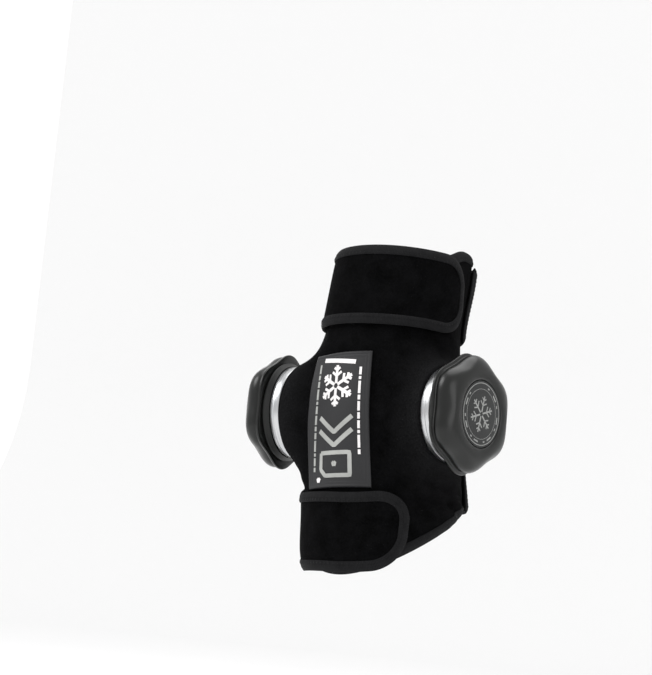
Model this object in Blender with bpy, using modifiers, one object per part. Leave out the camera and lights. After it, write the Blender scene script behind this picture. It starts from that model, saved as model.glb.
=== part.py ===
"""Cold compression wrap for an ankle.

A neoprene sleeve closed by two hook-and-loop straps holds one refillable ice bag on each side of the ankle.
Each bag has a threaded neck, clamped through the sleeve by a metal ring, with a six-lobed screw cap.

Frame: metres, +Z up the leg, -Y the back of the ankle, +Y the toes, +X the wearer's right.
The origin lies on the leg's axis, midway between the two bag necks.
Places on the wrap are given as (turn, height, offset): turn in degrees around the leg from the back, positive
towards +X, and offset outwards from the sleeve's outer face.
"""

import math

import bmesh
import bpy
from mathutils import Matrix, Vector

OBJECT_NAME = "cold_compression_wrap"
GAP = 0.0003

# Sections of the sleeve's outer face: height, half width, half depth, centre's distance forward.
SECTIONS = (
    (-0.1085, 0.0430, 0.0548, 0.0275),
    (-0.0910, 0.0467, 0.0584, 0.0277),
    (-0.0600, 0.0475, 0.0575, 0.0265),
    (0.0000, 0.0450, 0.0495, 0.0150),
    (0.0450, 0.0430, 0.0475, 0.0170),
    (0.1080, 0.0390, 0.0437, 0.0220),
)

# Sleeve
SLEEVE_HALF_TURN = 145.0
SLEEVE_STEP = 10.0
SLEEVE_THICKNESS = 0.0032
SLEEVE_TOP = 0.1042
SLEEVE_BOTTOM = -0.1035
SLEEVE_CORNER_RADIUS = 0.007
NECK_ZONE_BOTTOM = -0.046
NECK_ZONE_TOP = 0.048
NECK_ZONE_ROWS = 10
END_ZONE_ROWS = 5
INSTEP_RISE = 0.0480
INSTEP_RISE_RATE = 0.66

# The upper front corner on the straps' side stands away from the leg and reaches higher.
FLARE_DEPTH = 0.0060
FLARE_TURN = 132.0
FLARE_WIDTH = 20.0
FLARE_START = 0.055
FLARE_HEIGHT = 0.050
TOP_RISE = 0.0075
TOP_RISE_TURN = (78.0, 112.0)

# Edge binding
BINDING_WIDTH = 0.0030
BINDING_PROUD = 0.0006

# Straps
STRAP_INSIDE = 0.0018
STRAP_OUTSIDE = 0.0042
STRAP_STEP = 10.0
STRAP_END_RADIUS = 0.0175
STRAP_ROOT_TURN = 128.0
HOOK_INSIDE = 0.0005
HOOK_OUTSIDE = 0.0014
HOOK_INSET = 0.006
HOOK_LENGTH = 0.030
STRAP_CLIMB_TURN = (45.0, 170.0)
STRAP_END_RISE_SHARE = 0.4
TOP_STRAP = {"low": 0.0573, "high": 0.1040, "hinge": -70.0, "end": 97.0, "climbs": False}
BOTTOM_STRAP = {"low": -0.1022, "high": -0.0585, "hinge": -62.0, "end": 49.0, "climbs": True}

# Ice bags
BAG_TURN = (25.0, 125.0)
BAG_STEP = 10.0
BAG_WALL = 0.0009
BAG_OUTSIDE = -0.0045
BAG_EDGE_DEPTH = 0.0020
BAG_FILL_DEPTH = 0.0062
BAG_CENTRE_TURN = 75.0
BAG_HALF_TURN = 50.0

# Lining
LINING_GAP = 0.0013
LINING_THICKNESS = 0.0010
LINING_INSET = 0.0040

# Necks and caps: distances along the neck's axis start at the metal ring's inner face.
NECK_DISTANCE = 0.057
NECK_TILT = math.radians(5.0)
CLOTH_FLAT_RADIUS = 0.0355
CLOTH_FADE_UP = 0.0050
CLOTH_FADE_ROUND = 0.0080
LAYER_SHARE = 0.4
NECK_HOLE_RADIUS = 0.0284
NECK_HOLE_SPAN = (-0.0120, 0.0030)
NECK_BORE = 0.0245
NECK_RADIUS = 0.0275
NECK_TOP = 0.0200
FOOT_RADIUS = 0.0296
FOOT_TOP = -0.0128
FOOT_BOTTOM = -0.0150
RING_RADIUS = 0.0305
RING_BORE = 0.0279
RING_HEIGHT = 0.0065
RING_CHAMFER = 0.0006
COLLAR_BOTTOM = 0.0068
COLLAR_TOP = 0.0110
CAP_BOTTOM = 0.0113
CAP_BORE = 0.0296
CAP_CEILING = 0.0218
CAP_RECESS_RADIUS = 0.0215
CAP_RECESS_FLOOR = 0.0246
CAP_LOBES = 6
CAP_LOBE_DEPTH = 0.0034
CAP_LOBE_INNER_RADIUS = 0.0300
CAP_LOBE_OUTER_RADIUS = 0.0370
SEAL_BORE = 0.0242
SEAL_RADIUS = 0.0285
BADGE_RADIUS = 0.0210
BADGE_BOTTOM = 0.0249
BADGE_TOP = 0.0255
THREAD_PITCH = 0.0040
THREAD_START = 0.0144
THREAD_DEPTH = 0.0014
THREAD_BASE = 0.0008
THREAD_TIP = 0.0004
THREAD_ROOT_INTO_WALL = 0.0006

# Back patch
PATCH_HALF_WIDTH = 0.0235
PATCH_HALF_HEIGHT = 0.0437
PATCH_CENTRE = (-0.0055, -0.0088)
PATCH_LEAN = math.radians(3.1)
PATCH_INSIDE = 0.0013
PATCH_OUTSIDE = 0.0023


def material(name, colour, roughness, metallic=0.0):
    """A Principled material with a plain colour."""
    made = bpy.data.materials.new(name)
    made.use_nodes = True
    shader = made.node_tree.nodes["Principled BSDF"]
    shader.inputs["Base Color"].default_value = (*colour, 1.0)
    shader.inputs["Roughness"].default_value = roughness
    shader.inputs["Metallic"].default_value = metallic
    made.diffuse_color = (*colour, 1.0)
    return made


def collection(name):
    made = bpy.data.collections.new(name)
    bpy.context.scene.collection.children.link(made)
    return made


# ---------------------------------------------------------------- the wrap's surface


def section(height):
    """Half width, half depth and forward shift of the outer face at a height, by a smooth curve."""
    rows = SECTIONS
    clamped = min(max(height, rows[0][0]), rows[-1][0])
    index = max(k for k in range(len(rows) - 1) if rows[k][0] <= clamped)
    before, low, high, after = (rows[min(max(index + k, 0), len(rows) - 1)] for k in (-1, 0, 1, 2))
    span = high[0] - low[0]
    t = (clamped - low[0]) / span
    values = []
    for k in (1, 2, 3):
        slope_low = (high[k] - before[k]) / (high[0] - before[0]) * span
        slope_high = (after[k] - low[k]) / (after[0] - low[0]) * span
        values.append(
            (2 * t**3 - 3 * t**2 + 1) * low[k]
            + (t**3 - 2 * t**2 + t) * slope_low
            + (3 * t**2 - 2 * t**3) * high[k]
            + (t**3 - t**2) * slope_high
        )
    return values


def smooth_step(value):
    part = min(max(value, 0.0), 1.0)
    return part * part * (3.0 - 2.0 * part)


def flare(turn, height):
    """How far the upper front corner stands away from the leg."""
    around = (turn + 180.0) % 360.0 - 180.0
    bell = math.exp(-(((around - FLARE_TURN) / FLARE_WIDTH) ** 2))
    return FLARE_DEPTH * bell * smooth_step((height - FLARE_START) / FLARE_HEIGHT)


def neck_axis(side):
    return Vector((side * math.cos(NECK_TILT), -math.sin(NECK_TILT), 0.0))


def neck_base(side):
    return Vector((side * NECK_DISTANCE, 0.0, 0.0))


def wrap_point(turn, height, offset, drawn_to_neck=True):
    """A point on the wrap; the cloth is drawn out to the neck's ring around each neck."""
    half_width, half_depth, forward = section(height)
    offset += flare(turn, height)
    angle = math.radians(turn)
    centre = Vector((0.0, forward, height))
    ray = Vector(((half_width + offset) * math.sin(angle), -(half_depth + offset) * math.cos(angle), 0.0))
    side = 1 if ray.x > 0 else -1
    axis = neck_axis(side)
    slope = ray.dot(axis)
    if not drawn_to_neck or slope < 0.2 * ray.length:
        return centre + ray
    reach = ((neck_base(side) - centre).dot(axis) + offset - GAP) / slope
    from_axis = centre + ray * reach - neck_base(side)
    from_axis -= axis * from_axis.dot(axis)
    away = from_axis.length
    fade = CLOTH_FADE_UP + CLOTH_FADE_ROUND * abs(from_axis.y) / max(away, GAP)
    flat_radius = CLOTH_FLAT_RADIUS + LAYER_SHARE * min(0.0, offset)
    pull = math.exp(-max(0.0, away - flat_radius) / fade)
    return centre + ray * (1.0 + (reach - 1.0) * pull)


def metres_per_degree(turn, height):
    half_width, half_depth, _ = section(height)
    angle = math.radians(turn)
    return math.radians(math.hypot(half_width * math.cos(angle), half_depth * math.sin(angle)))


def instep_rise(turn):
    """How far the sleeve's lower edge climbs from the heel towards the instep."""
    return INSTEP_RISE * math.sin(math.radians(INSTEP_RISE_RATE * turn)) ** 2


def strap_rise(turn):
    """How far the bottom strap climbs: level around the front, down the side opposite its root, low at the heel."""
    if turn > 0.0:
        return STRAP_END_RISE_SHARE * instep_rise(turn)
    start, end = STRAP_CLIMB_TURN
    return INSTEP_RISE * smooth_step((-turn - start) / (end - start))


def corner_drop(distance, radius):
    """How far an edge is set in by a round corner, at a distance from the sheet's end."""
    inside = radius - min(max(distance, 0.0), radius)
    return radius - math.sqrt(radius**2 - inside**2)


# ---------------------------------------------------------------- shape helpers


def add_object(name, mesh, look, into):
    made = bpy.data.objects.new(name, mesh)
    made.data.materials.append(look)
    into.objects.link(made)
    return made


def face_outwards(shape):
    bmesh.ops.recalc_face_normals(shape, faces=shape.faces[:])
    if shape.calc_volume(signed=True) < 0.0:
        bmesh.ops.reverse_faces(shape, faces=shape.faces[:])


def slab(name, columns, rows, place, look, into):
    """A sheet with thickness: a grid extruded once, each corner put in place by place(column, row, outer)."""
    shape = bmesh.new()
    bmesh.ops.create_grid(shape, x_segments=len(columns) - 1, y_segments=len(rows) - 1, size=0.5)
    extruded = bmesh.ops.extrude_face_region(shape, geom=shape.faces[:])
    for item in extruded["geom"]:
        if isinstance(item, bmesh.types.BMVert):
            item.co.z = 1.0
    for vertex in shape.verts:
        column = columns[round((vertex.co.x + 0.5) * (len(columns) - 1))]
        row = rows[round((vertex.co.y + 0.5) * (len(rows) - 1))]
        vertex.co = place(column, row, vertex.co.z > 0.5)
    bmesh.ops.triangulate(shape, faces=shape.faces[:], quad_method="SHORT_EDGE")
    face_outwards(shape)
    mesh = bpy.data.meshes.new(name)
    shape.to_mesh(mesh)
    shape.free()
    mesh.shade_smooth()
    mesh.set_sharp_from_angle(angle=math.radians(40.0))
    return add_object(name, mesh, look, into)


def steps(start, end, step):
    count = max(1, round(abs(end - start) / step))
    return [start + (end - start) * k / count for k in range(count + 1)]


def fractions(count):
    return [k / count for k in range(count + 1)]


def outline(columns, low, high, rows):
    """The sheet's outline, clockwise from outside, as its top, right, bottom and left runs."""
    last, first = columns[-1], columns[0]
    top = [(turn, high(turn)) for turn in columns]
    right = [(last, high(last) + (low(last) - high(last)) * part) for part in rows[1:-1]]
    bottom = [(turn, low(turn)) for turn in reversed(columns)]
    left = [(first, low(first) + (high(first) - low(first)) * part) for part in rows[1:-1]]
    return top, right, bottom, left


def binding(name, path, inside, outside, look, into):
    """Tape along the edge of a sheet: a strip just outside the edge and a little thicker than the sheet."""
    outwards = []
    for k, (turn, height) in enumerate(path):
        before = path[max(k - 1, 0)]
        after = path[min(k + 1, len(path) - 1)]
        run = (after[0] - before[0]) * metres_per_degree(turn, height)
        rise = after[1] - before[1]
        length = math.hypot(run, rise)
        outwards.append((-rise / length, run / length))

    def place(index, row, outer):
        turn, height = path[index]
        along, up = outwards[index]
        reach = GAP + BINDING_WIDTH * row
        turn += along * reach / metres_per_degree(turn, height)
        return wrap_point(turn, height + up * reach, outside if outer else inside)

    return slab(name, range(len(path)), fractions(1), place, look, into)


def turned(name, profile, side, look, into, segments=24, closed=True):
    """A turned piece: the profile's (radius, distance along the neck's axis) points, from the top down."""
    shape = bmesh.new()
    corners = [shape.verts.new((radius, 0.0, along)) for radius, along in profile]
    for first, second in zip(corners, corners[1:]):
        shape.edges.new((first, second))
    if closed:
        shape.edges.new((corners[-1], corners[0]))
    mesh = bpy.data.meshes.new(name)
    shape.to_mesh(mesh)
    shape.free()
    made = add_object(name, mesh, look, into)
    screw = made.modifiers.new("turn", "SCREW")
    screw.steps = segments
    screw.render_steps = segments
    screw.use_merge_vertices = True
    screw.merge_threshold = 0.00005
    return put_on_neck(bake(made), side)


def bake(made):
    """Turns an object's modifiers into its own mesh, with open ends filled and faces outwards."""
    evaluated = made.evaluated_get(bpy.context.evaluated_depsgraph_get())
    mesh = bpy.data.meshes.new_from_object(evaluated)
    made.modifiers.clear()
    made.data = mesh
    shape = bmesh.new()
    shape.from_mesh(mesh)
    bmesh.ops.holes_fill(shape, edges=[edge for edge in shape.edges if edge.is_boundary])
    face_outwards(shape)
    shape.to_mesh(mesh)
    shape.free()
    mesh.shade_smooth()
    mesh.set_sharp_from_angle(angle=math.radians(35.0))
    return made


def put_on_neck(made, side):
    """Stands a piece on a neck: its own +Z along the neck's axis, its +Y up the leg."""
    axis = neck_axis(side)
    up = Vector((0.0, 0.0, 1.0))
    across = up.cross(axis)
    turned_frame = Matrix((across, up, axis)).transposed().to_4x4()
    made.matrix_world = Matrix.Translation(neck_base(side)) @ turned_frame
    return made


def cut(made, cutter, operation="DIFFERENCE"):
    boolean = made.modifiers.new(cutter.name, "BOOLEAN")
    boolean.operation = operation
    boolean.object = cutter


def thread_ridge(name, wall_radius, direction, start, side, look, into):
    """One turn of a right-hand thread as a helical ridge, rooted a little inside the wall that carries it."""
    root = wall_radius - direction * THREAD_ROOT_INTO_WALL
    tip = wall_radius + direction * THREAD_DEPTH
    profile = [(root, THREAD_BASE), (tip, THREAD_TIP), (tip, -THREAD_TIP), (root, -THREAD_BASE)]
    shape = bmesh.new()
    corners = [shape.verts.new((radius, 0.0, start + along)) for radius, along in profile]
    for k, corner in enumerate(corners):
        shape.edges.new((corner, corners[(k + 1) % len(corners)]))
    mesh = bpy.data.meshes.new(name)
    shape.to_mesh(mesh)
    shape.free()
    made = add_object(name, mesh, look, into)
    screw = made.modifiers.new("helix", "SCREW")
    screw.steps = 24
    screw.render_steps = 24
    screw.screw_offset = THREAD_PITCH
    bake(made)
    made.hide_render = True
    made.display_type = "WIRE"
    return put_on_neck(made, side)


# ---------------------------------------------------------------- soft pieces


def sleeve_edge(turn, end_height, towards):
    """Height of the sleeve's upper or lower edge, with its round front corners."""
    distance = (SLEEVE_HALF_TURN - abs(turn)) * metres_per_degree(turn, end_height)
    return end_height - towards * corner_drop(distance, SLEEVE_CORNER_RADIUS)


def sleeve_high(turn):
    start, end = TOP_RISE_TURN
    return sleeve_edge(turn, SLEEVE_TOP + TOP_RISE * smooth_step((turn - start) / (end - start)), 1)


def sleeve_low(turn):
    return sleeve_edge(turn, SLEEVE_BOTTOM + instep_rise(turn), -1)


def sleeve_heights(turn):
    """Heights of a column's points: level around the necks, fanned out above and below them."""
    low, high = sleeve_low(turn), sleeve_high(turn)
    below = [low + (NECK_ZONE_BOTTOM - low) * part for part in fractions(END_ZONE_ROWS)]
    level = [NECK_ZONE_BOTTOM + (NECK_ZONE_TOP - NECK_ZONE_BOTTOM) * part for part in fractions(NECK_ZONE_ROWS)]
    above = [NECK_ZONE_TOP + (high - NECK_ZONE_TOP) * part for part in fractions(END_ZONE_ROWS)]
    return below + level[1:] + above[1:]


def make_sleeve(look, binding_look, into, cutters):
    columns = steps(-SLEEVE_HALF_TURN, SLEEVE_HALF_TURN, SLEEVE_STEP)
    heights = {turn: sleeve_heights(turn) for turn in columns}
    row_count = len(heights[columns[0]])

    def place(turn, row, outer):
        return wrap_point(turn, heights[turn][row], 0.0 if outer else -SLEEVE_THICKNESS)

    sleeve = slab("outer_sleeve", columns, range(row_count), place, look, into)
    for hole in cutters.values():
        cut(sleeve, hole)
    top = [(turn, heights[turn][-1]) for turn in columns]
    right = [(columns[-1], height) for height in reversed(heights[columns[-1]][1:-1])]
    bottom = [(turn, heights[turn][0]) for turn in reversed(columns)]
    left = [(columns[0], height) for height in heights[columns[0]][1:-1]]
    path = top + right + bottom + left
    binding("edge_binding", path, -SLEEVE_THICKNESS - BINDING_PROUD, BINDING_PROUD, binding_look, into)


def fill_depth(turn, height):
    """How deep the bag lies behind the sleeve, most at its middle."""
    across = (abs(turn) - BAG_CENTRE_TURN) / BAG_HALF_TURN
    middle = 0.5 * (NECK_ZONE_BOTTOM + NECK_ZONE_TOP)
    upwards = (height - middle) / (NECK_ZONE_TOP - middle)
    return BAG_FILL_DEPTH * max(0.0, 1.0 - across**2) * max(0.0, 1.0 - upwards**2)


def bag_inside(turn, height):
    return BAG_OUTSIDE - BAG_EDGE_DEPTH - fill_depth(turn, height)


def bag_slab(name, side, inset, wall, look, into):
    """The bag's outer form, or the room inside it when it is set in from the edges and walls."""
    ends = sorted((side * (BAG_TURN[0] + inset * BAG_STEP), side * (BAG_TURN[1] - inset * BAG_STEP)))
    turns = steps(*ends, BAG_STEP)
    rise = (NECK_ZONE_TOP - NECK_ZONE_BOTTOM) / NECK_ZONE_ROWS
    heights = [NECK_ZONE_BOTTOM + rise * k for k in range(inset, NECK_ZONE_ROWS + 1 - inset)]

    def place(turn, height, outer):
        if outer:
            return wrap_point(turn, height, BAG_OUTSIDE - wall)
        return wrap_point(turn, height, bag_inside(turn, height) + wall, drawn_to_neck=False)

    return slab(name, turns, heights, place, look, into)


def make_bag(prefix, side, look, into, cutter_collection, hole):
    bag = bag_slab(f"{prefix}_ice_bag", side, 0, 0.0, look, into)
    room = bag_slab(f"{prefix}_ice_room", side, 1, BAG_WALL, look, cutter_collection)
    room.hide_render = True
    room.display_type = "WIRE"
    cut(bag, room)
    cut(bag, hole)


def make_lining(look, into):
    turns = steps(-SLEEVE_HALF_TURN + 4.0, SLEEVE_HALF_TURN - 4.0, 15.0)

    def place(turn, part, outer):
        low = sleeve_low(turn) + LINING_INSET
        high = sleeve_high(turn) - LINING_INSET
        height = low + (high - low) * part
        behind = bag_inside(turn, height) - LINING_GAP
        return wrap_point(turn, height, behind if outer else behind - LINING_THICKNESS, drawn_to_neck=False)

    slab("inner_lining", turns, fractions(10), place, look, into)


def make_strap(prefix, strap, look, hook_look, binding_look, into):
    """A strap: its sewn root around the front, the flap that peels open, the flap's hook patch and tapes."""

    def climb(turn):
        around = turn - 360.0 if turn > strap["end"] + 1.0 else turn
        return strap_rise(around) if strap["climbs"] else 0.0

    def flat_low(turn):
        return strap["low"] + climb(turn)

    def flat_high(turn):
        return strap["high"] + climb(turn)

    def end_inset(turn):
        middle = 0.5 * (flat_low(turn) + flat_high(turn))
        distance = (strap["end"] - turn) * metres_per_degree(turn, middle)
        return corner_drop(distance, STRAP_END_RADIUS)

    def round_low(turn):
        return flat_low(turn) + end_inset(turn)

    def round_high(turn):
        return flat_high(turn) - end_inset(turn)

    def place_between(low, high, inside, outside):
        def place(turn, part, outer):
            height = low(turn) + (high(turn) - low(turn)) * part
            return wrap_point(turn, height, outside if outer else inside)

        return place

    middle = 0.5 * (flat_low(strap["end"]) + flat_high(strap["end"]))
    radius_turn = STRAP_END_RADIUS / metres_per_degree(strap["end"], middle)
    corner_turns = [strap["end"] - radius_turn * (1.0 - math.sin(math.radians(a))) for a in (0, 30, 60, 90)]
    flap_turns = steps(strap["hinge"] + 0.3, corner_turns[0], STRAP_STEP) + corner_turns[1:]
    root_turns = steps(STRAP_ROOT_TURN, strap["hinge"] + 360.0 - 0.3, STRAP_STEP)
    inset_share = HOOK_INSET / (strap["high"] - strap["low"])
    rows = [0.0, inset_share, 0.5 * inset_share + 0.25, 0.5, 0.75 - 0.5 * inset_share, 1.0 - inset_share, 1.0]

    cloth = (STRAP_INSIDE, STRAP_OUTSIDE)
    slab(f"{prefix}_flap", flap_turns, rows, place_between(round_low, round_high, *cloth), look, into)
    slab(f"{prefix}_root", root_turns, rows, place_between(flat_low, flat_high, *cloth), look, into)

    def hook_low(turn):
        return flat_low(turn) + HOOK_INSET

    def hook_high(turn):
        return flat_high(turn) - HOOK_INSET

    hook_end = strap["end"] - 0.3 * radius_turn
    hook_start = hook_end - HOOK_LENGTH / metres_per_degree(strap["end"], middle)
    hook_turns = steps(hook_start, hook_end, STRAP_STEP)
    hook_place = place_between(hook_low, hook_high, HOOK_INSIDE, HOOK_OUTSIDE)
    slab(f"{prefix}_hook", hook_turns, fractions(4), hook_place, hook_look, into)

    tape = (STRAP_INSIDE - 0.0003, STRAP_OUTSIDE + 0.0003)
    top, right, bottom, _ = outline(flap_turns, round_low, round_high, rows)
    binding(f"{prefix}_flap_binding", top + right + bottom, *tape, binding_look, into)
    top, _, bottom, left = outline(root_turns, flat_low, flat_high, rows)
    binding(f"{prefix}_root_binding", bottom + left + top, *tape, binding_look, into)


def make_patch(look, into):
    centre_across, centre_up = PATCH_CENTRE

    def place(across, up, outer):
        leaned_across = centre_across + across * math.cos(PATCH_LEAN) - up * math.sin(PATCH_LEAN)
        leaned_up = centre_up + up * math.cos(PATCH_LEAN) + across * math.sin(PATCH_LEAN)
        turn = math.degrees(leaned_across / section(0.0)[0])
        return wrap_point(turn, leaned_up, PATCH_OUTSIDE if outer else PATCH_INSIDE)

    columns = steps(-PATCH_HALF_WIDTH, PATCH_HALF_WIDTH, 0.0047)
    rows = steps(-PATCH_HALF_HEIGHT, PATCH_HALF_HEIGHT, 0.009)
    slab("back_patch", columns, rows, place, look, into)


# ---------------------------------------------------------------- necks and caps


def neck_hole(prefix, side, into):
    """The cutter that lets a neck through the sleeve and the bag's outer wall."""
    inner, outer = NECK_HOLE_SPAN
    bpy.ops.mesh.primitive_cylinder_add(vertices=24, radius=NECK_HOLE_RADIUS, depth=outer - inner)
    hole = bpy.context.object
    for other in list(hole.users_collection):
        other.objects.unlink(hole)
    into.objects.link(hole)
    hole.name = f"{prefix}_neck_hole"
    hole.data.transform(Matrix.Translation((0.0, 0.0, 0.5 * (inner + outer))))
    hole.hide_render = True
    hole.display_type = "WIRE"
    return put_on_neck(hole, side)


def make_neck(prefix, side, looks, into, cutter_collection):
    neck_profile = [
        (NECK_RADIUS, NECK_TOP),
        (NECK_RADIUS, FOOT_TOP),
        (FOOT_RADIUS, FOOT_TOP),
        (FOOT_RADIUS, FOOT_BOTTOM),
        (NECK_BORE, FOOT_BOTTOM),
        (NECK_BORE, NECK_TOP),
    ]
    neck = turned(f"{prefix}_neck", neck_profile, side, looks["plastic"], into)
    thread = (f"{prefix}_neck_thread", NECK_RADIUS, 1, THREAD_START)
    cut(neck, thread_ridge(*thread, side, looks["plastic"], cutter_collection), "UNION")

    ring_profile = [
        (RING_RADIUS - RING_CHAMFER, RING_HEIGHT),
        (RING_RADIUS, RING_HEIGHT - RING_CHAMFER),
        (RING_RADIUS, RING_CHAMFER),
        (RING_RADIUS - RING_CHAMFER, 0.0),
        (RING_BORE, 0.0),
        (RING_BORE, RING_HEIGHT),
    ]
    turned(f"{prefix}_clamp_ring", ring_profile, side, looks["metal"], into)

    collar_profile = [
        (0.0330, COLLAR_TOP),
        (0.0330, COLLAR_TOP - 0.0010),
        (0.0310, COLLAR_BOTTOM),
        (RING_BORE, COLLAR_BOTTOM),
        (RING_BORE, COLLAR_TOP),
    ]
    turned(f"{prefix}_collar", collar_profile, side, looks["plastic"], into)


def make_cap(prefix, side, looks, into, cutter_collection):
    cap_profile = [
        (0.0, CAP_RECESS_FLOOR),
        (CAP_RECESS_RADIUS, CAP_RECESS_FLOOR),
        (CAP_RECESS_RADIUS + 0.0006, 0.0258),
        (0.0270, 0.0262),
        (0.0335, 0.0250),
        (0.0372, 0.0220),
        (0.0387, 0.0175),
        (0.0380, 0.0130),
        (0.0385, CAP_BOTTOM),
        (CAP_BORE, CAP_BOTTOM),
        (CAP_BORE, CAP_CEILING),
        (0.0, CAP_CEILING),
    ]
    cap = turned(f"{prefix}_cap", cap_profile, side, looks["plastic"], into, segments=36, closed=False)
    lobe_span = CAP_LOBE_OUTER_RADIUS - CAP_LOBE_INNER_RADIUS
    for vertex in cap.data.vertices:
        radius = math.hypot(vertex.co.x, vertex.co.y)
        if radius <= CAP_LOBE_INNER_RADIUS:
            continue
        angle = math.atan2(vertex.co.x, vertex.co.y)
        share = min(1.0, (radius - CAP_LOBE_INNER_RADIUS) / lobe_span)
        hollow = 0.5 * (1.0 - math.cos(CAP_LOBES * angle))
        scale = (radius - CAP_LOBE_DEPTH * share * hollow) / radius
        vertex.co.x *= scale
        vertex.co.y *= scale
    thread = (f"{prefix}_cap_thread", CAP_BORE, -1, THREAD_START - 0.5 * THREAD_PITCH)
    cut(cap, thread_ridge(*thread, side, looks["plastic"], cutter_collection), "UNION")

    seal_profile = [
        (SEAL_RADIUS, CAP_CEILING - GAP),
        (SEAL_RADIUS, NECK_TOP + GAP),
        (SEAL_BORE, NECK_TOP + GAP),
        (SEAL_BORE, CAP_CEILING - GAP),
    ]
    turned(f"{prefix}_cap_seal", seal_profile, side, looks["rubber"], into)

    badge_profile = [
        (0.0, BADGE_TOP),
        (BADGE_RADIUS, BADGE_TOP),
        (BADGE_RADIUS, BADGE_BOTTOM),
        (0.0, BADGE_BOTTOM),
    ]
    turned(f"{prefix}_cap_badge", badge_profile, side, looks["badge"], into, closed=False)


def build():
    for old in list(bpy.data.objects):
        bpy.data.objects.remove(old, do_unlink=True)

    pieces = collection(OBJECT_NAME)
    cutter_collection = collection("cutters")
    looks = {
        "pile": material("black loop pile", (0.012, 0.012, 0.012), 0.95),
        "tape": material("dark binding tape", (0.022, 0.022, 0.023), 0.8),
        "hook": material("hook tape", (0.02, 0.02, 0.02), 0.7),
        "lining": material("soft lining", (0.03, 0.03, 0.032), 0.9),
        "bag": material("coated bag cloth", (0.04, 0.045, 0.06), 0.5),
        "patch": material("moulded patch", (0.04, 0.04, 0.043), 0.55),
        "plastic": material("black plastic", (0.02, 0.02, 0.02), 0.3),
        "metal": material("aluminium", (0.8, 0.8, 0.81), 0.3, 1.0),
        "rubber": material("seal rubber", (0.1, 0.1, 0.1), 0.7),
        "badge": material("badge film", (0.035, 0.035, 0.035), 0.4),
    }

    sides = {"left": -1, "right": 1}
    holes = {prefix: neck_hole(prefix, side, cutter_collection) for prefix, side in sides.items()}
    make_sleeve(looks["pile"], looks["tape"], pieces, holes)
    make_lining(looks["lining"], pieces)
    for prefix, strap in (("top_strap", TOP_STRAP), ("bottom_strap", BOTTOM_STRAP)):
        make_strap(prefix, strap, looks["pile"], looks["hook"], looks["tape"], pieces)
    make_patch(looks["patch"], pieces)
    for prefix, side in sides.items():
        make_bag(prefix, side, looks["bag"], pieces, cutter_collection, holes[prefix])
        make_neck(prefix, side, looks, pieces, cutter_collection)
        make_cap(prefix, side, looks, pieces, cutter_collection)


build()
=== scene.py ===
"""Cold compression wrap for an ankle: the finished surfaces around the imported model.

Metres, +Z up the leg, -Y the back of the ankle. Places on the wrap are (turn, height, offset): turn in
degrees around the leg from the back, positive towards +X, offset outwards from the sleeve's outer face.
"""

import math

import bmesh
import bpy
import numpy as np
from mathutils import Matrix, Vector


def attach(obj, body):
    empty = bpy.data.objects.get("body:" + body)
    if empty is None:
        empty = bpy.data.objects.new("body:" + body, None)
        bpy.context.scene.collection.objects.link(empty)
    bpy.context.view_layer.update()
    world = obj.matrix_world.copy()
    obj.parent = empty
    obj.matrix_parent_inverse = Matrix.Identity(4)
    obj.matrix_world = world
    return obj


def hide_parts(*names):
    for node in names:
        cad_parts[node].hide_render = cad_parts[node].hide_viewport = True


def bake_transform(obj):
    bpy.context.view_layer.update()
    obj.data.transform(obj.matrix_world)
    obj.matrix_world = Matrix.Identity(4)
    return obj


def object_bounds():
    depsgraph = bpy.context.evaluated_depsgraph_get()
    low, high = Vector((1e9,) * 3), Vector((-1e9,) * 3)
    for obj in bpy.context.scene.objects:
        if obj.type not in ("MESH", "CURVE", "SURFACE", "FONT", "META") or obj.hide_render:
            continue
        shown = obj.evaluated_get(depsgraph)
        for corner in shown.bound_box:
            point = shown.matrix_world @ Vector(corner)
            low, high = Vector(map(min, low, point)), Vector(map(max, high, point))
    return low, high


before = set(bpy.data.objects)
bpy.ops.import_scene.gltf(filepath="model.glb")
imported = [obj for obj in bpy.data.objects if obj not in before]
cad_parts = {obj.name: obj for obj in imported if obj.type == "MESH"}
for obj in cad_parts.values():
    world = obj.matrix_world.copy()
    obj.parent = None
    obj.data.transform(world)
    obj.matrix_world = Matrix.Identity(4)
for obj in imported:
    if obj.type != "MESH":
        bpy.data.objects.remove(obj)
CAD_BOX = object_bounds()

bl_info = {
    "name": "Cold compression wrap",
    "version": (1, 0, 0),
    "blender": (4, 5, 0),
    "location": "3D View > Sidebar > Wrap",
    "description": "Builds the cloth, straps, caps and stage of an ankle ice wrap around its packed model",
    "category": "Object",
}

# Sections of the sleeve's outer face: height, half width, half depth, centre's distance forward.
SECTIONS = np.array(
    (
        (-0.1085, 0.0430, 0.0548, 0.0275),
        (-0.0910, 0.0467, 0.0584, 0.0277),
        (-0.0600, 0.0475, 0.0575, 0.0265),
        (0.0000, 0.0450, 0.0495, 0.0150),
        (0.0450, 0.0430, 0.0475, 0.0170),
        (0.1080, 0.0390, 0.0437, 0.0220),
    )
)
SLEEVE_HALF_TURN = 145.0
SLEEVE_TOP = 0.1042
SLEEVE_BOTTOM = -0.1035
SLEEVE_CORNER_RADIUS = 0.007
INSTEP_RISE = 0.0480
INSTEP_RISE_RATE = 0.66
FLARE_DEPTH = 0.0060
FLARE_TURN = 132.0
FLARE_WIDTH = 20.0
FLARE_START = 0.055
FLARE_HEIGHT = 0.050
TOP_RISE = 0.0075
TOP_RISE_TURN = (78.0, 112.0)
SLEEVE_THICKNESS = 0.0032
BINDING_REACH = 0.0033
STITCH_LINE = 0.55
NECK_DISTANCE = 0.057
NECK_TILT = math.radians(5.0)
NECK_HOLE_RADIUS = 0.0284
CLOTH_FLAT_RADIUS = 0.0322
CLOTH_BEND = 0.0010
CLOTH_UNDER_RING = 0.0003
NEAR_AXIS = 0.0003
CLOTH_FADE_UP = 0.0050
CLOTH_FADE_ROUND = 0.0080
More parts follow.
